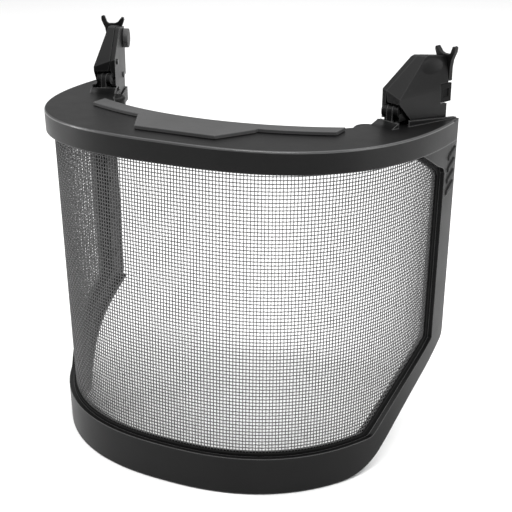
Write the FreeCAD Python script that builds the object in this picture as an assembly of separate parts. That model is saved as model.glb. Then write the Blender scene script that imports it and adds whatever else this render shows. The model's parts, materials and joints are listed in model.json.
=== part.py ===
"""Mesh face shield that hangs from the side slots of a hard hat, as separate pieces.

The pieces are drawn in a drawing frame: +X across the face, -Y to the front, +Z up, with the
widest line of the shield at y = 0 and the lowest edge of the screen frame at z = 0. They are
moved to the part's own frame when they are written: its origin is midway between the round
bosses of the two helmet clips.
"""
import FreeCAD, Part
import math
import os
from FreeCAD import Vector

# Driving dimensions, in millimetres unless the name says otherwise.
HALF_WIDTH = 130.0          # outside half-width of the shield at the brow
PLAN_DEPTH = 159.5          # from the widest line forward to the front of the brow
TOP_Z = 217.5               # front top edge of the brow above the lowest edge
TOP_POWER = 2.78            # roundness of the plan outline at the brow
BOTTOM_POWER = 2.40         # roundness of the plan outline at the bottom
SIDE_TAPER = 2.8            # how much narrower each side is at the bottom
FRONT_LEAN = -5.1           # how far the foot of the screen stands forward of the brow
REAR_Y = -14.5              # rear edge of the side stiles
BROW_SLOPE_DEG = 2.9        # the brow falls towards the wearer's ears

SKIN = 3.0                  # wall of the outer mouldings
BAND_HEIGHT = 13.6          # front band of the brow guard
SHELF_THICKNESS = 3.0
HEAD_RADIUS = 166.9         # hollow edge of the shelf, round the helmet's front
HEAD_CENTRE_Y = 60.8
TRIM_WIDTH = 12.5
TRIM_HEIGHT = 2.4
TRIM_HALF_SPAN = 82.0
PLATE_FRONT_Y = -142.5
PLATE_HALF_WIDTH = 26.0
PLATE_BASE_HALF_WIDTH = 39.0

BEND_Y = -66.0              # the cut lower corners bend here, seen from the side
BEND_Z = 39.9
BEND_RADIUS = 110.0
REAR_SLOPE = 0.429          # their rise over run behind the bend
FRONT_SLOPE = 1.04          # and in front of it
FOOT_RADIUS = 40.0          # rounding where the cut corners meet the bottom edge
FOOT_SHRINK = 1.4           # how fast that rounding sharpens as the outline is set in
KNEE_RADIUS = 7.0
STILE_WIDTH = 20.5          # width of the frame's outer face at the sides
DIAGONAL_WIDTH = 13.2
RIM_HEIGHT = 24.5
BORDER_STILE = 24.0         # how far the screen's moulded edge reaches in, at the same places
BORDER_DIAGONAL = 16.8
BORDER_BOTTOM = 26.5
FLANGE = 2.5                # thickness of the frame's turned-in edge
BORDER_OUTER = 3.2          # insets of the layers behind the outer face
BORDER_INNER = 6.8
MESH_OUTER = 4.5
MESH_INNER = 5.5
MESH_PLAY = 0.05
MESH_EDGE = 4.8             # the wire mesh stops this far inside the frame's outer edge
STRIP_OUTER = 7.0
STRIP_INNER = 9.2

ARM_TURN_DEG = 23.0         # the arms follow the side of the head
ARM_CORNER = Vector(106.0, -60.0, 0.0)   # front outer corner of the right arm in plan
ARM_THICKNESS = 14.2
COVER_DEPTH = 11.0          # part of that thickness taken by the arm's cover
CHIN_Z = 226.0              # lower edge of the arm's front facet
ARM_TOP_Z = 250.3
ARM_REAR = 43.6             # rear edge of the cover low down
ARM_TOP_REAR = 46.4         # and from its shoulder up, where it meets the fork
HOOD_Z = 228.9              # where the sloping hood meets the front outer corner
HOOD_RISE = 0.653           # its rise along the arm
HOOD_LEAN = 0.359           # and its rise across it
LEAN_Z = 229.0              # above this the outer face leans in
FACE_LEAN = 0.29
DIMPLE_LONG_RADIUS = 50.0   # radii of the hollow near the top of the outer face
DIMPLE_SHORT_RADIUS = 12.5
DIMPLE_DEPTH = 1.0
TALL = 270.0                # above every arm
SCREW_PLACES = ((9.0, 230.5), (33.0, 216.5))
COVER_WALL = 2.2
TEMPLE_FRONT_Y = -66.0      # front of the solid ends of the brow guard
FOOT_Z = 206.5
HINGE_Y = -55.5
HINGE_Z = 221.0
HINGE_PIN_RADIUS = 1.6
BARREL_RADIUS = 3.6
BARREL_START = 94.4
BARREL_END = 104.6
EAR_START = 97.6
EAR_END = 101.4
FORK_TIP_Z = 254.0
BOSS_ALONG = 42.0
BOSS_Z = 240.0
BOSS_RADIUS = 6.5
BOSS_HEIGHT = 3.7
RIVET_RADIUS = 1.3
RIVET_HEAD_RADIUS = 2.6
HEAD_GAP = 0.25             # lets a flat rivet head sit on the curved strip

UP = Vector(0, 0, 1)
SPAN = 400.0                # longer than the whole part
SLOPE = math.radians(BROW_SLOPE_DEG)


# ---------------------------------------------------------------- outline of the shield

def outline_point(angle_deg, height, inset):
    """Point of the plan outline: 0 is the right side, 90 the front and 180 the left side."""
    share = 1 - height / TOP_Z
    half_width = HALF_WIDTH - SIDE_TAPER * share - inset
    depth = PLAN_DEPTH - inset
    power = TOP_POWER + (BOTTOM_POWER - TOP_POWER) * share
    along = math.cos(math.radians(angle_deg))
    forward = math.sin(math.radians(angle_deg))
    radius = (abs(along / half_width) ** power + abs(forward / depth) ** power) ** (-1 / power)
    return Vector(radius * along, FRONT_LEAN * share - radius * forward, height)


def outline_wire(height, inset, back):
    points = [outline_point(7.5 * step, height, inset) for step in range(25)]
    curve = Part.BSplineCurve()
    curve.interpolate(points)
    rear = [points[-1] + Vector(0, back, 0), points[0] + Vector(0, back, 0)]
    sides = [Part.makeLine(points[-1], rear[0]), Part.makeLine(rear[0], rear[1]),
             Part.makeLine(rear[1], points[0])]
    return Part.Wire([curve.toShape()] + sides)


def column(inset, back):
    """Upright solid inside the outline, from below the frame to above the brow."""
    low = outline_wire(-20.0, inset, back)
    high = outline_wire(TOP_Z + 20.0, inset, back)
    return Part.makeLoft([low, high], True, True)


def shell(outer_inset, inner_inset):
    """Curved wall between two insets of the outline, cut off at the rear of the stiles."""
    wall = column(outer_inset, 4.0).cut(column(inner_inset, 8.0))
    return wall.common(box(-SPAN, SPAN, -SPAN, REAR_Y, -SPAN, SPAN))


def surface_point(angle_deg, height, inset):
    """Point at an inset and the outward normal there."""
    here = outline_point(angle_deg, height, inset)
    ahead = outline_point(angle_deg + 0.5, height, inset)
    tangent = (ahead - here).normalize()
    normal = Vector(-tangent.y, tangent.x, 0)
    if normal.dot(Vector(here.x, here.y, 0)) < 0:
        normal = normal * -1
    return here, normal


def box(x0, x1, y0, y1, z0, z1):
    return Part.makeBox(x1 - x0, y1 - y0, z1 - z0, Vector(x0, y0, z0))


def brow_z(y):
    """Height of the brow's top surface."""
    return TOP_Z - math.tan(SLOPE) * (y + PLAN_DEPTH)


def brow_slab(low, high):
    """Slab between two heights measured from the brow's sloping top."""
    slab = box(-SPAN, SPAN, -SPAN, SPAN, low, high)
    slab.translate(Vector(0, PLAN_DEPTH, 0))
    slab.rotate(Vector(0, 0, 0), Vector(1, 0, 0), -BROW_SLOPE_DEG)
    slab.translate(Vector(0, -PLAN_DEPTH, TOP_Z))
    return slab


def side_prism(points):
    """Solid across the whole width over a closed outline of (y, z) corners.

    A corner with a third number is rounded to that radius.
    """
    corners = [Vector(-SPAN, point[0], point[1]) for point in points]
    starts, ends, arcs = [], [], []
    for index, point in enumerate(points):
        here = corners[index]
        radius = point[2] if len(point) > 2 else 0
        to_last = (corners[index - 1] - here).normalize()
        to_next = (corners[(index + 1) % len(points)] - here).normalize()
        half = to_last.getAngle(to_next) / 2
        reach = radius / math.tan(half)
        starts.append(here + to_last * reach)
        ends.append(here + to_next * reach)
        middle = here + (to_last + to_next).normalize() * (radius / math.sin(half) - radius)
        arcs.append(Part.Arc(starts[-1], middle, ends[-1]).toShape() if radius else None)
    edges = []
    for index, arc in enumerate(arcs):
        edges.append(Part.makeLine(ends[index - 1], starts[index]))
        if arc:
            edges.append(arc)
    return Part.Face(Part.Wire(edges)).extrude(Vector(2 * SPAN, 0, 0))


def plan_prism(points, low, high):
    """Upright solid over a closed outline of (x, y) corners."""
    corners = [Vector(x, y, low) for x, y in points]
    face = Part.Face(Part.makePolygon(corners + corners[:1]))
    return face.extrude(Vector(0, 0, high - low))


def pin_between(start, end, radius):
    way = end - start
    return Part.makeCylinder(radius, way.Length, start, way)


def union(shapes):
    result = shapes[0]
    for shape in shapes[1:]:
        result = result.fuse(shape)
    return result.removeSplitter()


def mirrored(shape):
    return shape.mirror(Vector(0, 0, 0), Vector(1, 0, 0))


def both_sides(shape):
    return [shape, mirrored(shape)]


# ---------------------------------------------------------------- screen frame

def frame_corners(side, diagonal, bottom):
    """Knee, bend and foot of the frame seen from the side, set in by three distances."""
    rear_lift = BEND_Z + diagonal * math.sqrt(1 + REAR_SLOPE ** 2)
    front_lift = BEND_Z + diagonal * math.sqrt(1 + FRONT_SLOPE ** 2)
    rear = REAR_Y - side
    knee = (rear, rear_lift + REAR_SLOPE * (rear - BEND_Y), max(KNEE_RADIUS - side, 1.0))
    bend_y = BEND_Y - (front_lift - rear_lift) / (FRONT_SLOPE - REAR_SLOPE)
    bend = (bend_y, rear_lift + REAR_SLOPE * (bend_y - BEND_Y), BEND_RADIUS + diagonal)
    foot_y = BEND_Y + (bottom - front_lift) / FRONT_SLOPE
    foot = (foot_y, bottom, FOOT_RADIUS - FOOT_SHRINK * bottom)
    return knee, bend, foot


def frame_region(side, diagonal, bottom):
    knee, bend, foot = frame_corners(side, diagonal, bottom)
    return side_prism([(knee[0], SPAN), knee, bend, foot, (-SPAN, bottom), (-SPAN, SPAN)])


def window_region(side, diagonal, bottom, drop):
    """Clear window of the frame, with its cut upper corners under the brow."""
    knee, bend, foot = frame_corners(side, diagonal, bottom)
    rear = knee[0]
    gusset = [(rear, 180.5 - drop), (rear - 3.0, 184.0 - drop), (-48.0, 188.0 - drop),
              (-70.0, 200.0 - drop)]
    top = brow_z(-SPAN) - BAND_HEIGHT - drop
    return side_prism([knee, bend, foot, (-SPAN, bottom), (-SPAN, top)] + gusset[::-1])


def below_brow():
    return brow_slab(-SPAN, -BAND_HEIGHT)


def make_outer_rim(grips, rivets):
    ring = frame_region(0, 0, 0).cut(window_region(STILE_WIDTH, DIAGONAL_WIDTH, RIM_HEIGHT, 0.0))
    face = shell(0, SKIN).common(ring).common(below_brow())
    edge = frame_region(0, 0, 0).cut(frame_region(FLANGE, FLANGE, FLANGE))
    turned_in = shell(1.0, 9.5).common(edge).common(below_brow())
    corner_web = edge.common(box(-SPAN, SPAN, -98.0, REAR_Y, 0.0, 62.0))
    deep_web = shell(1.0, 12.5).common(corner_web)
    rim = union([face, turned_in, deep_web])
    return rim.cut(grips).cut(rivets)


def layer(outer_inset, inner_inset, region, window, top):
    """One curved layer of the frame between an outer region and its window."""
    sheet = shell(outer_inset, inner_inset).common(region).common(brow_slab(-SPAN, top))
    behind = box(-SPAN, SPAN, TEMPLE_FRONT_Y - 1.0, SPAN, 0, SPAN)
    temples = brow_slab(-BAND_HEIGHT - 0.2, SPAN).common(behind)
    sheet = sheet.cut(temples)
    return sheet.cut(window) if window else sheet


def make_border(rivets):
    """Moulded edge of the screen, slotted for the wire mesh."""
    window = window_region(BORDER_STILE, BORDER_DIAGONAL, BORDER_BOTTOM, 1.2)
    region = frame_region(FLANGE + 0.2, FLANGE + 0.2, FLANGE + 0.2)
    top = -SHELF_THICKNESS - 0.2
    outer_lip = layer(BORDER_OUTER, MESH_OUTER - MESH_PLAY, region, window, top)
    inner_lip = layer(MESH_INNER + MESH_PLAY, BORDER_INNER, region, window, top)
    web = layer(BORDER_OUTER, BORDER_INNER, region.cut(mesh_region(MESH_EDGE - 0.1)), None, top)
    roof = layer(BORDER_OUTER, BORDER_INNER, region, None, top).common(brow_slab(0.1 - MESH_EDGE, 0))
    return outer_lip.fuse([inner_lip, web, roof]).cut(rivets)


def mesh_region(setback):
    return frame_region(setback, setback, setback)


def make_mesh(rivets):
    return layer(MESH_OUTER, MESH_INNER, mesh_region(MESH_EDGE), None, -MESH_EDGE).cut(rivets)


def make_strips(rivets):
    """Strips that trap the screen's edge from inside: left, right, bottom and upper."""
    region = frame_region(FLANGE + 0.3, FLANGE + 0.3, FLANGE + 0.3)
    window = window_region(14.0, 12.4, 14.5, 0.0)
    ring = shell(STRIP_OUTER, STRIP_INNER).common(region).common(below_brow()).cut(window)
    high = ring.common(box(-SPAN, SPAN, -SPAN, SPAN, 20.0, 194.0)).cut(rivets)
    right = high.common(box(0, SPAN, -SPAN, SPAN, -SPAN, SPAN))
    left = high.common(box(-SPAN, 0, -SPAN, SPAN, -SPAN, SPAN))
    bottom = ring.common(box(-SPAN, SPAN, -SPAN, SPAN, -1.0, 19.4)).cut(rivets)
    upper = shell(STRIP_OUTER, STRIP_INNER).common(brow_slab(-12.8, -4.0))
    upper = upper.common(box(-SPAN, SPAN, -SPAN, -84.0, -SPAN, SPAN)).cut(rivets)
    return {"left_strip": left, "right_strip": right, "bottom_strip": bottom, "upper_strip": upper}


def rivet_places():
    """Angle round the outline and height of every rivet."""
    side_heights = [82.0, 110.0, 138.0, 166.0, 188.0]
    sides = [(side_angle(-23.5, height), height) for height in side_heights]
    corners = [(side_angle(y, z), z) for y, z in [(-45.0, 57.0), (-72.0, 43.0)]]
    right = sides + corners
    left = [(180 - angle, height) for angle, height in right]
    bottom = [(angle, 9.5) for angle in (55, 72, 90, 108, 125)]
    upper = []
    for angle in (50, 68, 90, 112, 130):
        upper.append((angle, brow_z(outline_point(angle, TOP_Z, STRIP_OUTER).y) - 8.5))
    return right + left + bottom + upper


def side_angle(y, height):
    """Angle round the outline at which it reaches a distance y on the right side."""
    low, high = 0.0, 90.0
    for _ in range(40):
        middle = (low + high) / 2
        if outline_point(middle, height, STRIP_OUTER).y > y:
            low = middle
        else:
            high = middle
    return low


def six_sided(start, way, radius, length):
    """Six-sided shank, which keeps the strips from turning on it."""
    side = way.cross(UP).normalize()
    corners = []
    for count in range(6):
        turn = math.radians(60 * count + 30)
        corners.append(start + side * (radius * math.cos(turn)) + UP * (radius * math.sin(turn)))
    return Part.Face(Part.makePolygon(corners + corners[:1])).extrude(way * length)


def make_rivets():
    shanks = []
    solids = []
    for angle, height in rivet_places():
        seat, normal = surface_point(angle, height, STRIP_INNER + HEAD_GAP)
        shank = six_sided(seat, normal, RIVET_RADIUS, STRIP_INNER - 1.6)
        head = Part.makeCone(RIVET_HEAD_RADIUS, RIVET_HEAD_RADIUS - 0.7, 1.1, seat, normal * -1)
        shanks.append(shank)
        solids.append(head.fuse(shank).removeSplitter())
    return Part.makeCompound(solids), Part.makeCompound(shanks)


def make_grip(thickness_out, thickness_in):
    """Finger grip on the right stile: a panel with four slanted ribs."""
    panel = side_prism([(-32.0, 163.0), (-18.0, 166.0), (-18.0, 195.0), (-32.0, 192.0)])
    pad = shell(0, thickness_in).common(panel)
    ribs = []
    for count in range(4):
        low = 164.6 + 7.4 * count
        bar = side_prism([(-30.6, low), (-19.2, low + 4.4), (-19.2, low + 7.0), (-30.6, low + 2.6)])
        ribs.append(shell(-thickness_out, thickness_in).common(bar))
    right = union([pad] + ribs).common(box(0, SPAN, -SPAN, SPAN, -SPAN, SPAN))
    return right


# ---------------------------------------------------------------- brow guard

def head_opening():
    """Space for the helmet: a hollow circle at the front and flats along the arms."""
    front = Part.makeCylinder(HEAD_RADIUS, 2 * SPAN, Vector(0, HEAD_CENTRE_Y, -SPAN))
    inside = [arm_plan(-18.0, -15.4), arm_plan(90.0, -15.4)]
    right = [(TRIM_HALF_SPAN - 3.5, -SPAN), (TRIM_HALF_SPAN - 3.5, -79.0)] + inside
    left = [(-x, y) for x, y in right]
    return front.common(plan_prism(right + left[::-1], -SPAN, SPAN))


def make_brow_guard():
    slab = brow_slab(-BAND_HEIGHT, 0)
    solid = column(0, 4.0).common(box(-SPAN, SPAN, -SPAN, REAR_Y, -SPAN, SPAN))
    band = shell(0, SKIN).common(slab)
    shelf = solid.common(brow_slab(-SHELF_THICKNESS, 0)).cut(head_opening())
    pieces = [band, shelf]
    temple = temple_block(solid)
    pieces += both_sides(temple)
    guard = union(pieces)
    cuts = both_sides(arm_pocket())
    for cut in cuts:
        guard = guard.cut(cut)
    guard = union([guard] + both_sides(hinge_ear()))
    bore = on_hinge(90, 112, HINGE_PIN_RADIUS)
    for cut in both_sides(bore):
        guard = guard.cut(cut)
    return guard


def temple_block(solid):
    """Solid end of the brow guard that carries one arm, with the raised rim round its socket."""
    outline = [arm_plan(-2.0, -15.4), arm_plan(60.0, -15.4), (140.0, 0.0), (140.0, -60.0),
               (112.0, TEMPLE_FRONT_Y)]
    block = solid.common(brow_slab(-BAND_HEIGHT, 0)).common(plan_prism(outline, -SPAN, SPAN))
    rim_plan = [arm_plan(8.0, 0.6), arm_plan(50.0, 0.6), arm_plan(50.0, 3.0), arm_plan(6.0, 2.6)]
    rim_top = side_prism([(-60.0, 200.0), (-60.0, 216.4), (REAR_Y, 210.9), (REAR_Y, 200.0)])
    rim = plan_prism(rim_plan, 200.0, 230.0).common(rim_top).common(solid)
    sill = place_arm(arm_profile([(-11.0, 206.0), (-11.0, 211.8), (-3.4, 215.0), (-2.6, 215.6),
                                  (-2.0, 215.4), (-2.0, 206.0)], -14.6, 2.0))
    floor = place_arm(arm_profile([(-3.0, 206.0), (-3.0, 215.2), (0.0, 215.2), (2.2, 214.4), (2.2, 206.0)],
                                  -14.6, -2.0))
    lug = Part.makeCylinder(8.0, 9.0, Vector(88.0, -66.0, 203.5))
    lug = lug.makeFillet(2.0, [lug.Edges[0], lug.Edges[2]])
    return union([block, rim, sill, floor, lug])


def arm_pocket():
    """Socket of the right arm, open towards the helmet and to the rear."""
    outline = [arm_plan(10.5, -40.0), arm_plan(10.5, 0.5), arm_plan(70.0, 0.5), arm_plan(70.0, -40.0)]
    return plan_prism(outline, FOOT_Z - 0.7, SPAN)


def hinge_ear():
    """Upright ear between the arm's two knuckles."""
    top = on_hinge(EAR_START, EAR_END, BARREL_RADIUS)
    web = box(EAR_START, EAR_END, HINGE_Y - BARREL_RADIUS, HINGE_Y + BARREL_RADIUS, 207.0, HINGE_Z)
    return top.fuse(web)


def make_brow_trim():
    """Raised strip along the hollow edge of the shelf, with a blank badge plate at the front."""
    wide = Part.makeCylinder(HEAD_RADIUS + TRIM_WIDTH, 2 * SPAN, Vector(0, HEAD_CENTRE_Y, -SPAN))
    strip = wide.common(box(-TRIM_HALF_SPAN, TRIM_HALF_SPAN, -SPAN, -60.0, -SPAN, SPAN))
    plate = plan_prism([(-PLATE_BASE_HALF_WIDTH, -117.0), (-PLATE_HALF_WIDTH, PLATE_FRONT_Y),
                        (PLATE_HALF_WIDTH, PLATE_FRONT_Y), (PLATE_BASE_HALF_WIDTH, -117.0),
                        (PLATE_BASE_HALF_WIDTH, -100.0), (-PLATE_BASE_HALF_WIDTH, -100.0)],
                       -SPAN, SPAN)
    hollow = Part.makeCylinder(HEAD_RADIUS + 0.4, 2 * SPAN, Vector(0, HEAD_CENTRE_Y, -SPAN))
    return strip.fuse(plate).cut(hollow).common(brow_slab(0, TRIM_HEIGHT)).removeSplitter()


# ---------------------------------------------------------------- arms and helmet clips

def arm_plan(along, across):
    """Plan position of a point of the right arm: along it from its front, across it outwards."""
    turn = math.radians(ARM_TURN_DEG)
    x = ARM_CORNER.x + along * math.sin(turn) + across * math.cos(turn)
    y = ARM_CORNER.y + along * math.cos(turn) - across * math.sin(turn)
    return x, y


def place_arm(shape):
    """Put a shape drawn in arm coordinates (across, along, up) into the drawing frame."""
    placed = shape.copy()
    placed.rotate(Vector(0, 0, 0), UP, -ARM_TURN_DEG)
    placed.translate(ARM_CORNER)
    return placed


def arm_profile(points, inner, outer):
    """Slab of the arm between two positions across it, over (along, up) corners."""
    corners = [Vector(inner, along, up) for along, up in points]
    face = Part.Face(Part.makePolygon(corners + corners[:1]))
    return face.extrude(Vector(outer - inner, 0, 0))


def beyond(point, normal):
    """Everything on the far side of a plane."""
    return Part.makeCylinder(SPAN, SPAN, point, normal)


def arm_planes(inset):
    """Spaces outside the arm's sloping hood, crown, top and leaning outer face."""
    planes = [(Vector(0, 0, HOOD_Z), Vector(HOOD_LEAN, -HOOD_RISE, 1)),
              (Vector(-ARM_THICKNESS, 25.8, 250.2), Vector(HOOD_LEAN / 2, -HOOD_RISE / 2.6, 1)),
              (Vector(-ARM_THICKNESS, 29.7, ARM_TOP_Z), Vector(0, 0.147, 1)),
              (Vector(0, 0, LEAN_Z), Vector(1, 0, FACE_LEAN))]
    spaces = []
    for point, normal in planes:
        normal.normalize()
        spaces.append(beyond(point - normal * inset, normal))
    return spaces


def arm_solid(points, inner, outer, inset):
    solid = arm_profile(points, inner, outer)
    for space in arm_planes(inset):
        solid = solid.cut(space)
    return solid


def make_arm_cover():
    wall = COVER_WALL
    outside = [(0, CHIN_Z), (0, TALL), (ARM_TOP_REAR, TALL), (ARM_TOP_REAR, 240), (ARM_REAR, 219.5),
               (ARM_REAR, 208), (11.5, 208), (11.0, 214.8)]
    inside = [(-5, 200), (-5, CHIN_Z), (wall, CHIN_Z), (wall, TALL), (60, TALL), (60, 200)]
    cover = arm_solid(outside, -COVER_DEPTH, 0, 0)
    cover = cover.cut(arm_solid(inside, -COVER_DEPTH - 1, -wall, wall))
    groove = Part.Face(Part.makePolygon([Vector(-9.2, -1, CHIN_Z - 1), Vector(-12, -1, CHIN_Z - 1),
                                         Vector(-12, -1, 236), Vector(-9.2, -1, CHIN_Z - 1)]))
    cover = cover.cut(groove.extrude(Vector(0, 2.2, 0)))
    cover = cover.cut(arm_profile(tab_notch(), -6.0, 3.0))
    cover = cover.cut(dimple())
    for along, up in SCREW_PLACES:
        cover = cover.fuse(screw_post(along, up))
        cover = cover.cut(Part.makeCylinder(0.9, 7.4, Vector(-COVER_DEPTH, along, up), Vector(1, 0, 0)))
    return place_arm(cover.removeSplitter())


def tab_notch():
    return [(37.6, 220.0), (37.6, 232.4), (60, 232.4), (60, 220.0)]


def dimple():
    """Ring whose outermost part hollows the cover's outer face, wider along the arm than up it."""
    along, up = 33.0, 243.6
    away = Vector(1, 0, FACE_LEAN).normalize()
    surface = Vector(-FACE_LEAN * (up - LEAN_Z), along, up)
    centre = surface + away * (DIMPLE_LONG_RADIUS - DIMPLE_DEPTH)
    ring = DIMPLE_LONG_RADIUS - DIMPLE_SHORT_RADIUS
    return Part.makeTorus(ring, DIMPLE_SHORT_RADIUS, centre, Vector(-FACE_LEAN, 0, 1).normalize())


def screw_post(along, up):
    return Part.makeCylinder(2.4, COVER_DEPTH - 1.0, Vector(-COVER_DEPTH, along, up), Vector(1, 0, 0))


def fork_profile():
    """Y-shaped fork seen along the arm, as (across, up) corners."""
    return [(-11.5, 233.0), (-11.5, 241.0), (-12.2, 246.0), (-14.2, 251.2), (-13.9, 252.8),
            (-12.5, 253.2), (-9.6, 249.8), (-7.6, 249.0), (-3.4, 249.0), (-2.2, 249.9), (-0.7, FORK_TIP_Z),
            (0.5, FORK_TIP_Z + 0.4), (1.6, FORK_TIP_Z - 0.4), (1.3, 251.0), (-0.9, 246.0), (-1.7, 241.0),
            (-1.7, 233.0)]


def make_clip_blade():
    """Inner half of the arm, with the hinge barrel at its front and the helmet fork at its rear."""
    inner = -ARM_THICKNESS
    split = -COVER_DEPTH - 0.2
    profile = [(0.3, 216.2), (0.3, TALL), (45.6, TALL), (45.6, 214.5), (40.0, 214.5), (40.0, FOOT_Z),
               (12.5, FOOT_Z), (12.5, 213.4), (2.8, 213.4), (2.8, 216.2)]
    plate = arm_solid(profile, inner, split, 0.5)
    block = arm_profile([(3.0, 215.0), (3.0, 225.2), (10.6, 225.2), (10.6, 215.0)], split, -2.5)
    foot = arm_profile([(12.5, FOOT_Z), (12.5, 214.0), (40.0, 214.0), (40.0, FOOT_Z)], split, -2.5)
    bridge = arm_profile([(8.0, 215.0), (8.0, 218.0), (14.5, 218.0), (14.5, 211.0), (12.5, 211.0)],
                         split, -3.0)
    corners = [Vector(across, 46.7, up) for across, up in fork_profile()]
    fork = Part.Face(Part.makePolygon(corners + corners[:1])).extrude(Vector(0, 2.8, 0))
    spine = arm_profile([(41.0, 233.0), (41.0, 240.0), (47.5, 240.0), (47.5, 233.0)], split - 1.0, -6.5)
    blade = place_arm(union([plate, block, foot, bridge, fork, spine]))
    blade = blade.fuse(on_hinge(BARREL_START, BARREL_END, BARREL_RADIUS))
    gap = on_hinge(EAR_START - 0.4, EAR_END + 0.4, 16.0)
    front = box(90, 110, HINGE_Y - 20, HINGE_Y + 7.6, 200, CHIN_Z - 0.4)
    blade = blade.cut(gap.common(front))
    blade = blade.cut(on_hinge(80, 120, HINGE_PIN_RADIUS + 0.05))
    boss_hole = Part.makeCylinder(2.5, 6.0, Vector(inner - 1, BOSS_ALONG, BOSS_Z), Vector(1, 0, 0))
    blade = blade.cut(place_arm(boss_hole))
    for along, up in SCREW_PLACES:
        hole = Part.makeCylinder(1.1, 8.0, Vector(inner - 1, along, up), Vector(1, 0, 0))
        blade = blade.cut(place_arm(hole))
    return blade.removeSplitter()


def on_hinge(start, end, radius):
    """Cylinder on the hinge line between two distances from the middle of the shield."""
    return pin_between(Vector(start, HINGE_Y, HINGE_Z), Vector(end, HINGE_Y, HINGE_Z), radius)


def make_boss():
    """Round boss on the helmet side of the clip, with its stub pressed into the blade."""
    inner = -ARM_THICKNESS
    disc = Part.makeCylinder(BOSS_RADIUS, BOSS_HEIGHT, Vector(inner - BOSS_HEIGHT, BOSS_ALONG, BOSS_Z),
                             Vector(1, 0, 0))
    stub = Part.makeCylinder(2.5, 2.6, Vector(inner - 0.4, BOSS_ALONG, BOSS_Z), Vector(1, 0, 0))
    return place_arm(disc.fuse(stub).removeSplitter())


def make_latch_tab():
    """Square tab in a notch of the arm's rear edge, on a tail that slides inside the cover."""
    plate = arm_profile([(38.0, 220.4), (38.0, 232.0), (48.6, 232.0), (48.6, 220.4)], -2.6, -1.0)
    recess = arm_profile([(41.0, 223.6), (41.0, 228.8), (46.0, 228.8), (46.0, 223.6)], -1.8, 2.0)
    tail = arm_profile([(30.0, 224.0), (30.0, 228.4), (46.0, 228.4), (46.0, 224.0)], -5.2, -2.6)
    return place_arm(plate.cut(recess).fuse(tail).removeSplitter())


def make_latch_spring():
    """Compression spring between the latch tab's tail and the front of the arm."""
    helix = Part.makeHelix(2.2, 15.0, 1.7)
    helix.rotate(Vector(0, 0, 0), Vector(1, 0, 0), -90)
    wire_start = Vector(1.7, 0, 0)
    ring = Part.Wire(Part.makeCircle(0.35, wire_start, UP))
    coil = Part.Wire(helix).makePipeShell([ring], True, True)
    coil.translate(Vector(-5.0, 14.5, 226.2))
    return place_arm(coil)


def make_hinge_pin():
    return on_hinge(BARREL_START + 0.2, BARREL_END + 0.3, HINGE_PIN_RADIUS)


def make_arm_screws():
    inner = -ARM_THICKNESS
    screws = []
    for along, up in SCREW_PLACES:
        head = Part.makeCylinder(1.9, 0.9, Vector(inner - 0.9, along, up), Vector(1, 0, 0))
        shank = Part.makeCylinder(0.9, 8.6, Vector(inner, along, up), Vector(1, 0, 0))
        screws.append(place_arm(head.fuse(shank).removeSplitter()))
    return Part.makeCompound(screws)


# ---------------------------------------------------------------- the whole part

def make_pieces():
    rivets, shanks = make_rivets()
    grip = make_grip(0.9, 0.8)
    recess = make_grip(2.0, 0.8)
    grip_cuts = Part.makeCompound(both_sides(recess))
    pieces = {
        "brow_guard": make_brow_guard().cut(shanks),
        "brow_trim": make_brow_trim(),
        "outer_rim": make_outer_rim(grip_cuts, shanks),
        "screen_border": make_border(shanks),
        "mesh_screen": make_mesh(shanks),
        "strip_rivets": rivets,
    }
    pieces.update(make_strips(shanks))
    right_side = {
        "grip": grip,
        "arm_cover": make_arm_cover(),
        "clip_blade": make_clip_blade(),
        "boss": make_boss(),
        "latch_tab": make_latch_tab(),
        "latch_spring": make_latch_spring(),
        "hinge_pin": make_hinge_pin(),
        "arm_screws": make_arm_screws(),
    }
    for name, shape in right_side.items():
        pieces["right_" + name] = shape
        pieces["left_" + name] = mirrored(shape)
    return pieces


def origin_point():
    """Midway between the two round bosses."""
    return Vector(0, arm_plan(BOSS_ALONG, -ARM_THICKNESS - BOSS_HEIGHT / 2)[1], BOSS_Z)


def main():
    os.makedirs("parts", exist_ok=True)
    shift = origin_point() * -1
    for name, shape in make_pieces().items():
        placed = shape.copy()
        placed.translate(shift)
        placed.exportStep("parts/" + name + ".step")
        solids = len(placed.Solids)
        print(name, "solids", solids, "valid", placed.isValid(), "volume", round(placed.Volume, 1))


main()
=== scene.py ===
"""Looks of the mesh face shield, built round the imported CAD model.

The woven screen is made wire by wire. The other CAD nodes that show are copied, with their hard
edges rounded and their curved walls shaded smoothly, or dressed as they are. Sizes are in
millimetres of the CAD's drawing frame, and to_frame() turns them into metres of the shared frame.
"""

import json
import math

import bmesh
import bpy
from mathutils import Matrix, Vector

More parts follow.
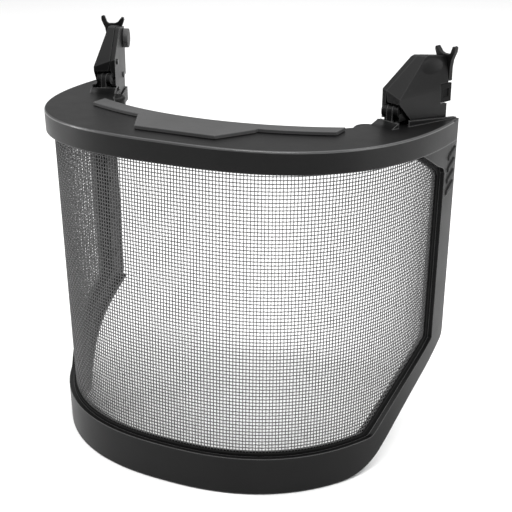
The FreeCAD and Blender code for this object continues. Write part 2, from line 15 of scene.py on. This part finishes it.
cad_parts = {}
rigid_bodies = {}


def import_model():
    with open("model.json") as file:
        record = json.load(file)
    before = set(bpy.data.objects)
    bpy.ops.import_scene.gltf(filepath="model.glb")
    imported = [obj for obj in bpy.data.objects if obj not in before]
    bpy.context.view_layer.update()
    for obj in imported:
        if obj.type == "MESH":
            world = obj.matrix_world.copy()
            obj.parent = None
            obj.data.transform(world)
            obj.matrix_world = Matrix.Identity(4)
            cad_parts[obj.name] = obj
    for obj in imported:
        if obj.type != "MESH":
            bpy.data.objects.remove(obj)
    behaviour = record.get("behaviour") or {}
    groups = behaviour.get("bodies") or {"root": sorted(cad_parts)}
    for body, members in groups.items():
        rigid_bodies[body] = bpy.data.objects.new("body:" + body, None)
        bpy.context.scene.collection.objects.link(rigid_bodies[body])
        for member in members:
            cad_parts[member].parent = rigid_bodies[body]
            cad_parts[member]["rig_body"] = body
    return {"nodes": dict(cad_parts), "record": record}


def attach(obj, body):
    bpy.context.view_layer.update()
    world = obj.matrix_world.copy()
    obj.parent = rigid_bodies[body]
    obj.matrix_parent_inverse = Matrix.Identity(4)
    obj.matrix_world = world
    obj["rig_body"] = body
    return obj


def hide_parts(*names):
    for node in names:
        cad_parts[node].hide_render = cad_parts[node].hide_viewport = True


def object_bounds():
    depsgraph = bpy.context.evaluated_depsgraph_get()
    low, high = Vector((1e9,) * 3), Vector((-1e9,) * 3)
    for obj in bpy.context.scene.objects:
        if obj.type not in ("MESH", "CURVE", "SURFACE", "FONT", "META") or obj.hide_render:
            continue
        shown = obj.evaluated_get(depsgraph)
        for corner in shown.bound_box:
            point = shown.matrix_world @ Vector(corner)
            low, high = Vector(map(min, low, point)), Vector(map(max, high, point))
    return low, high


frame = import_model()
cad_low, cad_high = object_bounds()

MM = 0.001
NODES = frame["nodes"]

# The shield's outline, the same formula as the CAD part's, in millimetres of its drawing frame.
HALF_WIDTH = 130.0
PLAN_DEPTH = 159.5
TOP_Z = 217.5
TOP_POWER = 2.78
BOTTOM_POWER = 2.40
SIDE_TAPER = 2.8
FRONT_LEAN = -5.1
REAR_Y = -14.5
BROW_SLOPE = math.tan(math.radians(2.9))
BAND_HEIGHT = 13.6
BEND_Y = -66.0
BEND_Z = 39.9
BEND_RADIUS = 110.0
REAR_ANGLE = math.atan(0.429)
FRONT_ANGLE = math.atan(1.04)
FOOT_RADIUS = 40.0
SHIFT = Vector((0.0, 15.068, -240.0))    # drawing frame to shared frame


# Paler edges, partly wear and partly a painted highlight, and grain of moulded plastic, in metres.
EDGE_REACH = 0.0011
EDGE_SAMPLES = 6
EDGE_FULLY_PALE = 0.88            # agreement of true and rounded normals at which an edge is fully paled
EDGE_NOT_PALE = 0.985          # and above which it isn't paled at all
GRAIN_HEIGHT = 0.0001

# Sockets of Blender's Mix node when it mixes colours, which share their names with other types'.
MIX_A = 6
MIX_B = 7
MIX_RESULT = 2

# Woven screen.
WIRE_RADIUS = 0.32
WIRE_SIDES = 4
PITCH_ACROSS = 2.0          # spacing of the upright wires
PITCH_UP = 2.2              # spacing of the level wires
CRIMP = 0.22                # how far each wire swings out of the middle of the weave
MESH_INSET = 5.0
SETBACK = 4.8               # from the frame's outer edge to the nearest wire
FIRST_ROW_Z = 3.0
SPACING_Z = 110.0           # height at which the upright wires are evenly spaced
SEARCH_DEG = 0.05           # step along the outline when they are spaced
AHEAD_DEG = 0.2             # step along the outline that gives its direction
TEMPLE_Y = -67.0            # behind this, the screen stops under the temple blocks
TEMPLE_GAP = 0.2
WIRE_CREASE_DEG = 80.0

# Rounding of the copied nodes, and how their walls are told from other faces.
ROUNDING = {
    "brow_trim": 0.4, "left_arm_cover": 0.9, "right_arm_cover": 0.9, "left_clip_blade": 0.4,
    "right_clip_blade": 0.4, "left_boss": 0.5, "right_boss": 0.5, "left_latch_tab": 0.35,
    "right_latch_tab": 0.35, "left_grip": 0.3, "right_grip": 0.3,
}
WALL_ROUNDING = {
    "outer_rim": 0.7, "screen_border": 0.3, "left_strip": 0.3, "right_strip": 0.3,
    "upper_strip": 0.3, "bottom_strip": 0.3, "brow_guard": 0.4,
}
WELD_M = 2e-6
FLAT_DEG = 0.05             # facets closer in direction than this are one face
HARD_DEG = 32.0             # edges sharper than this are rounded
CREASE_DEG = 40.0
PLAIN_CREASE_DEG = 35.0     # for nodes that aren't rounded
WALL_TILT = 0.2             # a face whose normal rises more than this isn't a wall
WALL_MATCH = 0.96           # least agreement of a wall's facet with the outline

# The brow's outer upper edge, which is rounder, and glossier and paler in colour as a painted
# highlight.
BROW_ROUNDING = 1.4
BROW_SEGMENTS = 4
BROW_EDGE_RAD = 0.6         # least angle between the faces at the edge
BROW_ON_WALL = 0.004        # how far the edge's points may miss the outline, as a share
BROW_ON_TOP = 0.06
BROW_REAR_GAP = 0.5
HIGHLIGHT_DEPTH = 1.8          # the painted highlight ends this far below the brow's top
HIGHLIGHT_REACH = 0.96
HIGHLIGHT_TILT = (0.12, 0.97)

# Camera: direction, lens, the point it is set out from, and the steps from there.
AZIMUTH = math.radians(25.26)
ELEVATION = math.radians(21.82)
LENS_MM = 80.2
SENSOR_MM = 36.0
TARGET_Z = 107.7
CAMERA_BACK = 806.8
CAMERA_LEFT = 14.19
CAMERA_DOWN = 15.77
CLIP_START_M = 0.01
CLIP_END_M = 20.0

# Studio in metres: each lamp's name, place, size, power in watts and target.
LIGHTS = [
    ("overhead", (0.0, 0.5, 1.9), (3.2, 3.2), 52.0, (0.0, -0.05, -0.1)),
    ("left_side", (-1.3, -0.5, 0.2), (0.4, 1.2), 12.0, (0.0, -0.05, -0.12)),
    ("right_side", (1.3, 0.1, 0.3), (0.4, 1.2), 8.0, (0.0, -0.05, -0.12)),
    ("front_top", (0.2, -0.9, 1.3), (1.0, 0.14), 16.0, (0.0, -0.1, -0.02)),
]
WORLD_STRENGTH = 0.42
FLOOR_REACH_M = 6.0
FLOOR_GAP_M = 0.0005        # from the lowest point of the CAD down to the floor
FLOOR_GREY = 0.93
FLOOR_ROUGHNESS = 0.9


def section(height):
    """Half width of the outline at a height, the y of its widest line and its power."""
    share = 1 - height / TOP_Z
    power = TOP_POWER + (BOTTOM_POWER - TOP_POWER) * share
    return HALF_WIDTH - SIDE_TAPER * share, FRONT_LEAN * share, power


def outline(angle_deg, height, inset):
    """Point of the plan outline in drawing millimetres; 0 is the right side, 90 the front."""
    half_width, middle_y, power = section(height)
    along = math.cos(math.radians(angle_deg))
    forward = math.sin(math.radians(angle_deg))
    across_term = abs(along / (half_width - inset)) ** power
    forward_term = abs(forward / (PLAN_DEPTH - inset)) ** power
    radius = (across_term + forward_term) ** (-1 / power)
    return Vector((radius * along, middle_y - radius * forward, height))


def outline_reach(point):
    """1 on the shield's outer wall, and less inside it."""
    half_width, middle_y, power = section(point.z)
    return abs(point.x / half_width) ** power + abs((point.y - middle_y) / PLAN_DEPTH) ** power


def wall_normal(point):
    """Level direction square to the shield's outline through a point of the drawing frame."""
    half_width, middle_y, power = section(point.z)
    forward = point.y - middle_y
    slope_x = math.copysign(abs(point.x / half_width) ** (power - 1) / half_width, point.x)
    slope_y = math.copysign(abs(forward / PLAN_DEPTH) ** (power - 1) / PLAN_DEPTH, forward)
    return Vector((slope_x, slope_y, 0.0)).normalized()


def to_frame(point):
    """Drawing millimetres to metres of the shared frame."""
    return (point + SHIFT) * MM


def to_drawing(point):
    """Metres of the shared frame to drawing millimetres."""
    return point / MM - SHIFT


def brow_z(y):
    """Height of the brow's sloping top."""
    return TOP_Z - BROW_SLOPE * (y + PLAN_DEPTH)


# ---------------------------------------------------------------- materials

def new_material(name):
    """Material with one Principled shader, and its nodes and links."""
    mat = bpy.data.materials.new(name)
    mat.use_nodes = True
    nodes, links = mat.node_tree.nodes, mat.node_tree.links
    nodes.clear()
    out = nodes.new("ShaderNodeOutputMaterial")
    shader = nodes.new("ShaderNodeBsdfPrincipled")
    links.new(shader.outputs["BSDF"], out.inputs["Surface"])
    return mat, nodes, links, shader


def ramp(nodes, links, source, low, high, start=0.3, end=0.7):
    node = nodes.new("ShaderNodeValToRGB")
    node.color_ramp.elements[0].position = start
    node.color_ramp.elements[1].position = end
    node.color_ramp.elements[0].color = low
    node.color_ramp.elements[1].color = high
    links.new(source, node.inputs["Fac"])
    return node.outputs["Color"]


def grey(value, tint=1.0):
    return (value, value, value * tint, 1.0)


def noise(nodes, links, where, scale, detail=4.0, rough=0.55):
    node = nodes.new("ShaderNodeTexNoise")
    node.inputs["Scale"].default_value = scale
    node.inputs["Detail"].default_value = detail
    node.inputs["Roughness"].default_value = rough
    links.new(where, node.inputs["Vector"])
    return node.outputs["Fac"]


def vary_roughness(nodes, links, shader, source, low, high):
    spread = nodes.new("ShaderNodeMapRange")
    spread.inputs["To Min"].default_value = low
    spread.inputs["To Max"].default_value = high
    links.new(source, spread.inputs["Value"])
    links.new(spread.outputs["Result"], shader.inputs["Roughness"])


def edge_mask(nodes, links):
    """White along hard edges, which are painted paler: partly handling wear, partly a painted
    highlight.
    """
    rounded = nodes.new("ShaderNodeBevel")
    rounded.samples = EDGE_SAMPLES
    rounded.inputs["Radius"].default_value = EDGE_REACH
    geo = nodes.new("ShaderNodeNewGeometry")
    dot = nodes.new("ShaderNodeVectorMath")
    dot.operation = "DOT_PRODUCT"
    links.new(rounded.outputs["Normal"], dot.inputs[0])
    links.new(geo.outputs["Normal"], dot.inputs[1])
    return ramp(nodes, links, dot.outputs["Value"], grey(1.0), grey(0.0), EDGE_FULLY_PALE, EDGE_NOT_PALE)


def moulded(name, low, high, rough_low, rough_high, grain=1500.0, depth=0.25, wear_and_highlight=0.10, shine=0.25):
    """Injection moulded plastic: fine spark-eroded grain, slow mottling, and edges painted paler,
    partly as wear and partly as a painted highlight.
    """
    mat, nodes, links, shader = new_material(name)
    where = nodes.new("ShaderNodeTexCoord").outputs["Object"]
    slow = noise(nodes, links, where, 22.0, 5.0)
    fine = noise(nodes, links, where, grain, 3.0, 0.6)
    base = ramp(nodes, links, slow, grey(low), grey(high, 1.02))
    mix = nodes.new("ShaderNodeMix")
    mix.data_type = "RGBA"
    links.new(edge_mask(nodes, links), mix.inputs["Factor"])
    links.new(base, mix.inputs[MIX_A])
    # Edges are painted paler here, partly for wear and partly as a painted highlight.
    mix.inputs[MIX_B].default_value = grey(high + wear_and_highlight)
    links.new(mix.outputs[MIX_RESULT], shader.inputs["Base Color"])
    vary_roughness(nodes, links, shader, noise(nodes, links, where, 60.0, 6.0), rough_low, rough_high)
    bump = nodes.new("ShaderNodeBump")
    bump.inputs["Strength"].default_value = depth
    bump.inputs["Distance"].default_value = GRAIN_HEIGHT
    links.new(fine, bump.inputs["Height"])
    links.new(bump.outputs["Normal"], shader.inputs["Normal"])
    shader.inputs["IOR"].default_value = 1.5
    shader.inputs["Specular IOR Level"].default_value = shine
    return mat


def metal(name, low, high, rough_low, rough_high):
    """Steel with a fine uneven surface finish."""
    mat, nodes, links, shader = new_material(name)
    where = nodes.new("ShaderNodeTexCoord").outputs["Object"]
    base = ramp(nodes, links, noise(nodes, links, where, 900.0), grey(low), grey(high))
    links.new(base, shader.inputs["Base Color"])
    vary_roughness(nodes, links, shader, noise(nodes, links, where, 400.0), rough_low, rough_high)
    shader.inputs["Metallic"].default_value = 1.0
    return mat


# Each material's edge paling is partly wear and partly a painted highlight.
SHELL = moulded("shell_black", 0.0025, 0.0045, 0.34, 0.46, wear_and_highlight=0.08, shine=0.17)
SHELF = moulded("trim_grey", 0.040, 0.054, 0.50, 0.66, wear_and_highlight=0.04, shine=0.40)
BORDER = moulded("border_black", 0.003, 0.005, 0.62, 0.80, depth=0.15, wear_and_highlight=0.01, shine=0.10)
CLIP = moulded("clip_black", 0.003, 0.006, 0.32, 0.46, wear_and_highlight=0.015, shine=0.15)
WIRE = moulded("wire_coating", 0.055, 0.080, 0.38, 0.55, grain=3000.0, depth=0.1, wear_and_highlight=0.02)
# Glossier, paler black for the brow's rounded upper edge: a painted highlight.
BROW_EDGE_HIGHLIGHT = moulded("shell_edge_painted_highlight", 0.030, 0.050, 0.24, 0.36, wear_and_highlight=0.02, shine=0.60)
GRIP = moulded("grip_black", 0.0025, 0.0045, 0.40, 0.55, wear_and_highlight=0.02, shine=0.17)
TAB = moulded("tab_black", 0.002, 0.003, 0.45, 0.60, wear_and_highlight=0.01, shine=0.08)
STEEL = metal("black_oxide_steel", 0.05, 0.08, 0.28, 0.45)

SLOT_LOOK = {"shell_plastic": SHELL, "trim_plastic": SHELF, "border_rubber": BORDER,
             "mesh_wire": WIRE, "clip_plastic": CLIP, "steel": STEEL}
NODE_SLOT = {row["node"]: row["material_slot"] for row in frame["record"]["subparts"]}


def dress(obj, mat):
    obj.data.materials.clear()
    obj.data.materials.append(mat)


# ---------------------------------------------------------------- mesh helpers

def add_mesh(name, verts, faces, mat, body, replaced):
    """New piece from points and faces, riding on a body and standing for CAD nodes."""
    mesh = bpy.data.meshes.new(name)
    mesh.from_pydata(verts, [], faces)
    mesh.validate()
    obj = bpy.data.objects.new(name, mesh)
    bpy.context.scene.collection.objects.link(obj)
    dress(obj, mat)
    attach(obj, body)
    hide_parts(*replaced)
    return obj


def smooth(obj, angle_deg):
    """Smooth shading that breaks at edges sharper than the angle."""
    mesh = obj.data
    mesh.polygons.foreach_set("use_smooth", [True] * len(mesh.polygons))
    mesh.set_sharp_from_angle(angle=math.radians(angle_deg))


def even_shading(mesh):
    """Gives the curved walls the outline's own normals, and leaves every other face as it is."""
    normals = [corner.vector.copy() for corner in mesh.corner_normals]
    for face in mesh.polygons:
        if abs(face.normal.z) > WALL_TILT:
            continue
        for loop in face.loop_indices:
            corner = mesh.vertices[mesh.loops[loop].vertex_index].co
            normal = wall_normal(to_drawing(corner))
            facing = normal.dot(face.normal)
            if abs(facing) > WALL_MATCH:
                normals[loop] = normal * math.copysign(1.0, facing)
    mesh.normals_split_custom_set(normals)


def on_brow_edge(point):
    """True on the brow's outer upper edge."""
    on_wall = abs(outline_reach(point) - 1) < BROW_ON_WALL and point.y < REAR_Y - BROW_REAR_GAP
    return on_wall and abs(point.z - brow_z(point.y)) < BROW_ON_TOP


def round_brow_edge(work):
    """Rounds the brow's outer upper edge more than a modifier would."""
    edges = []
    for edge in work.edges:
        ends = [to_drawing(vert.co) for vert in edge.verts]
        if all(on_brow_edge(end) for end in ends) and edge.calc_face_angle(0.0) > BROW_EDGE_RAD:
            edges.append(edge)
    bmesh.ops.bevel(work, geom=edges, offset=BROW_ROUNDING * MM, offset_type="OFFSET",
                    segments=BROW_SEGMENTS, profile=0.5, affect="EDGES", clamp_overlap=False)


def paint_brow_edge_highlight(brow):
    """Gives the brow's rounded upper edge a glossier material of paler colour, a painted highlight.
    """
    brow.data.materials.append(BROW_EDGE_HIGHLIGHT)
    for face in brow.data.polygons:
        spot = to_drawing(face.center)
        near_edge = brow_z(spot.y) - spot.z < HIGHLIGHT_DEPTH and outline_reach(spot) > HIGHLIGHT_REACH
        if HIGHLIGHT_TILT[0] < face.normal.z < HIGHLIGHT_TILT[1] and near_edge:
            face.material_index = 1


def soften(node, width):
    """Copy of a CAD node with its hard edges rounded, standing for the node."""
    source = NODES[node]
    mesh = source.data.copy()
    mesh.name = node + "_soft"
    obj = bpy.data.objects.new(node + "_soft", mesh)
    bpy.context.scene.collection.objects.link(obj)
    work = bmesh.new()
    work.from_mesh(mesh)
    bmesh.ops.remove_doubles(work, verts=work.verts, dist=WELD_M)
    bmesh.ops.dissolve_limit(work, angle_limit=math.radians(FLAT_DEG), verts=work.verts,
                             edges=work.edges, delimit={"NORMAL"})
    if node == "brow_guard":
        round_brow_edge(work)
    work.to_mesh(mesh)
    work.free()
    bevel = obj.modifiers.new("rounding", "BEVEL")
    bevel.width = width * MM
    bevel.segments = 2
    bevel.limit_method = "ANGLE"
    bevel.angle_limit = math.radians(HARD_DEG)
    bevel.use_clamp_overlap = True
    smooth(obj, CREASE_DEG)
    weighted = obj.modifiers.new("shading", "WEIGHTED_NORMAL")
    weighted.keep_sharp = True
    finished = obj.evaluated_get(bpy.context.evaluated_depsgraph_get())
    ready = bpy.data.meshes.new_from_object(finished)
    obj.modifiers.clear()
    obj.data = ready
    if node in WALL_ROUNDING:
        even_shading(ready)
    dress(obj, SLOT_LOOK[NODE_SLOT[node]])
    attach(obj, source["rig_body"])
    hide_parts(node)
    return obj


# ---------------------------------------------------------------- woven screen

def screen_bottom(y):
    """Lowest height at which the screen's wires run, for a y of the drawing frame.

    The frame's lower edge is level in front, then bends up in a hollow arc, a steep run, a
    rounded bend and a gentler run to the rear. The wires keep SETBACK clear of it.
    """
    foot_y = BEND_Y - BEND_Z / math.tan(FRONT_ANGLE) - FOOT_RADIUS * math.tan(FRONT_ANGLE / 2)
    foot_radius = FOOT_RADIUS - SETBACK
    if y <= foot_y:
        return SETBACK
    if y <= foot_y + foot_radius * math.sin(FRONT_ANGLE):
        return FOOT_RADIUS - math.sqrt(foot_radius ** 2 - (y - foot_y) ** 2)
    middle = (REAR_ANGLE + FRONT_ANGLE) / 2
    reach = BEND_RADIUS / math.cos((FRONT_ANGLE - REAR_ANGLE) / 2)
    bend_y = BEND_Y + reach * math.sin(middle)
    bend_z = BEND_Z - reach * math.cos(middle)
    bend_radius = BEND_RADIUS + SETBACK
    start, end = (bend_y - bend_radius * math.sin(angle) for angle in (FRONT_ANGLE, REAR_ANGLE))
    if start < y < end:
        return bend_z + math.sqrt(bend_radius ** 2 - (y - bend_y) ** 2)
    angle = FRONT_ANGLE if y <= start else REAR_ANGLE
    return BEND_Z + math.tan(angle) * (y - BEND_Y) + SETBACK / math.cos(angle)


def screen_top(y):
    """Greatest height at which the screen's wires run."""
    drop = BAND_HEIGHT + TEMPLE_GAP if y > TEMPLE_Y else SETBACK
    return brow_z(y) - drop


def station_angles():
    """Outline angles of the upright wires, evenly spaced from the front to each side."""
    angle = 90.0
    angles = [angle]
    last = outline(angle, SPACING_Z, MESH_INSET)
    run = 0.0
    while True:
        angle -= SEARCH_DEG
        here = outline(angle, SPACING_Z, MESH_INSET)
        if here.y > REAR_Y - SETBACK or angle < 0:
            break
        run += (here - last).length
        last = here
        if run >= PITCH_ACROSS:
            run -= PITCH_ACROSS
            angles.append(angle)
    return [180.0 - a for a in angles[:0:-1]] + angles


def surface_frame(angle, height):
    """Point in the middle of the weave, with the directions along the outline and out of it."""
    here = outline(angle, height, MESH_INSET)
    ahead = outline(angle + AHEAD_DEG, height, MESH_INSET)
    tangent = (ahead - here).normalized()
    normal = Vector((-tangent.y, tangent.x, 0.0))
    if normal.dot(Vector((here.x, here.y, 0.0))) < 0:
        normal = -normal
    return here, tangent, normal


def add_wire(path, verts, faces):
    """Adds a tube with flat ends to a mesh; path is a list of (centre, side, out) triples."""
    start = len(verts)
    for centre, side, out in path:
        for k in range(WIRE_SIDES):
            turn = 2 * math.pi * (k + 0.5) / WIRE_SIDES
            offset = side * (WIRE_RADIUS * math.cos(turn)) + out * (WIRE_RADIUS * math.sin(turn))
            verts.append(to_frame(centre + offset))
    for j in range(len(path) - 1):
        for k in range(WIRE_SIDES):
            a = start + j * WIRE_SIDES + k
            b = start + j * WIRE_SIDES + (k + 1) % WIRE_SIDES
            faces.append((a, b, b + WIRE_SIDES, a + WIRE_SIDES))
    faces.append(tuple(start + k for k in range(WIRE_SIDES))[::-1])
    last = start + (len(path) - 1) * WIRE_SIDES
    faces.append(tuple(last + k for k in range(WIRE_SIDES)))


def make_screen():
    """Weaves upright and level wires, and keeps them as four pieces."""
    angles = station_angles()
    rows = [FIRST_ROW_Z + PITCH_UP * k for k in range(int((TOP_Z - FIRST_ROW_Z) / PITCH_UP) + 1)]
    up = Vector((0.0, 0.0, 1.0))
    names = ("upright_left", "upright_right", "level_low", "level_high")
    groups = {name: ([], []) for name in names}
    for i, angle in enumerate(angles):
        group = groups["upright_left" if i < len(angles) // 2 else "upright_right"]
        path = []
        for j, height in enumerate(rows):
            here, tangent, normal = surface_frame(angle, height)
            if not screen_bottom(here.y) <= height <= screen_top(here.y):
                continue
            swing = CRIMP if (i + j) % 2 else -CRIMP
            path.append((here + normal * swing, tangent, normal))
        if len(path) > 2:
            add_wire(path, *group)
    for j, height in enumerate(rows):
        group = groups["level_low" if j < len(rows) // 2 else "level_high"]
        path = []
        for i, angle in enumerate(angles):
            here, tangent, normal = surface_frame(angle, height)
            inside = screen_bottom(here.y) <= height <= screen_top(here.y)
            if inside:
                swing = -CRIMP if (i + j) % 2 else CRIMP
                path.append((here + normal * swing, up, normal))
            if path and (not inside or i == len(angles) - 1):
                if len(path) > 2:
                    add_wire(path, *group)
                path = []
    for name, (verts, faces) in groups.items():
        obj = add_mesh("screen_" + name, verts, faces, WIRE, "visor", ("mesh_screen",))
        smooth(obj, WIRE_CREASE_DEG)


make_screen()

# ---------------------------------------------------------------- carried-over nodes

softened = {node: soften(node, width) for node, width in (ROUNDING | WALL_ROUNDING).items()}
# The brow's rounded upper edge takes the painted highlight.
paint_brow_edge_highlight(softened["brow_guard"])
for side in ("left", "right"):
    dress(softened[side + "_grip"], GRIP)
    dress(softened[side + "_latch_tab"], TAB)
for node, obj in NODES.items():
    if node not in softened and node != "mesh_screen":
        dress(obj, SLOT_LOOK[NODE_SLOT[node]])
        smooth(obj, PLAIN_CREASE_DEG)

# ---------------------------------------------------------------- studio

level = math.cos(ELEVATION)
back = Vector((math.sin(AZIMUTH) * level, -math.cos(AZIMUTH) * level, math.sin(ELEVATION)))
right = Vector((math.cos(AZIMUTH), math.sin(AZIMUTH), 0.0))
above = back.cross(right)

camera_data = bpy.data.cameras.new("camera")
camera = bpy.data.objects.new("camera", camera_data)
bpy.context.scene.collection.objects.link(camera)
camera_data.sensor_width = SENSOR_MM
camera_data.lens = LENS_MM
camera_data.clip_start = CLIP_START_M
camera_data.clip_end = CLIP_END_M
place = to_frame(Vector((0.0, 0.0, TARGET_Z)))
place += (back * CAMERA_BACK - right * CAMERA_LEFT - above * CAMERA_DOWN) * MM
camera.matrix_world = Matrix((
    (right.x, above.x, back.x, place.x),
    (right.y, above.y, back.y, place.y),
    (right.z, above.z, back.z, place.z),
    (0.0, 0.0, 0.0, 1.0)))
bpy.context.scene.camera = camera


def area_light(name, where, size, power, aim):
    """Rectangular lamp that faces its target."""
    data = bpy.data.lights.new(name, "AREA")
    data.shape = "RECTANGLE"
    data.size, data.size_y = size
    data.energy = power
    obj = bpy.data.objects.new(name, data)
    bpy.context.scene.collection.objects.link(obj)
    obj.location = where
    obj.rotation_mode = "QUATERNION"
    obj.rotation_quaternion = (Vector(aim) - Vector(where)).to_track_quat("-Z", "Y")


for light in LIGHTS:
    area_light(*light)

world = bpy.data.worlds.new("studio")
bpy.context.scene.world = world
world.use_nodes = True
background = world.node_tree.nodes["Background"]
background.inputs["Color"].default_value = (1.0, 1.0, 1.0, 1.0)
background.inputs["Strength"].default_value = WORLD_STRENGTH

floor_mesh = bpy.data.meshes.new("floor")
floor_z = cad_low.z - FLOOR_GAP_M
corners = [(-1, -1), (1, -1), (1, 1), (-1, 1)]
floor_verts = [(x * FLOOR_REACH_M, y * FLOOR_REACH_M, floor_z) for x, y in corners]
floor_mesh.from_pydata(floor_verts, [], [(0, 1, 2, 3)])
floor = bpy.data.objects.new("floor", floor_mesh)
bpy.context.scene.collection.objects.link(floor)
floor_mat, _, _, floor_shader = new_material("floor_white")
floor_shader.inputs["Base Color"].default_value = grey(FLOOR_GREY)
floor_shader.inputs["Roughness"].default_value = FLOOR_ROUGHNESS
dress(floor, floor_mat)

bpy.context.scene.view_settings.view_transform = "Standard"

bpy.context.view_layer.update()
